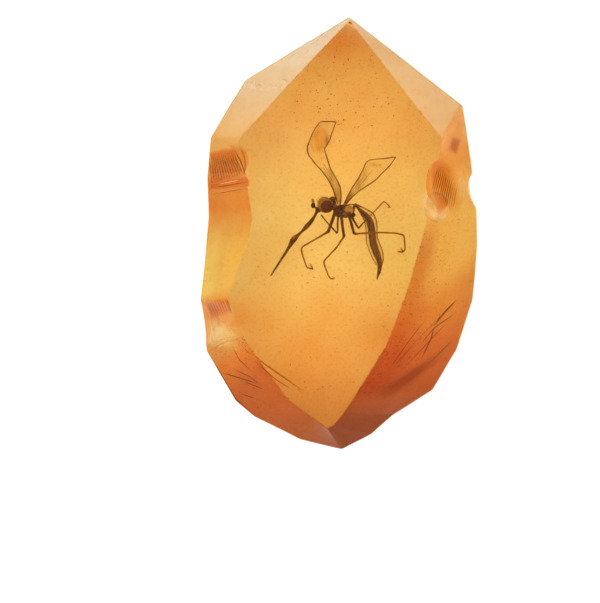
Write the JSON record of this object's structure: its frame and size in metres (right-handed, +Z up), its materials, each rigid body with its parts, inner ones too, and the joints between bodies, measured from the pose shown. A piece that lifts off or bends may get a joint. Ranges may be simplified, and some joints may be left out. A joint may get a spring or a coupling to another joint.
{
  "type": "mosquito in amber",
  "caption": "Clear, faceted nugget of orange amber with chipped edges, lying on its flat back, with a long-snouted mosquito sealed in it under the broad front face.",
  "frame": {"origin": "Centre of the nugget's outline, on the flat back that it lies on.", "axes": "+X across the nugget to the picture's right, +Y along it to the pointed end, +Z up out of the broad front face."},
  "size_m": [0.124, 0.1934, 0.066],
  "materials": {
    "amber": "polished",
    "insect": "satin"
  },
  "bodies": {
    "root": {"amber_front_half": "amber", "amber_back_half": "amber", "mosquito": "insect"}
  },
  "joints": []
}
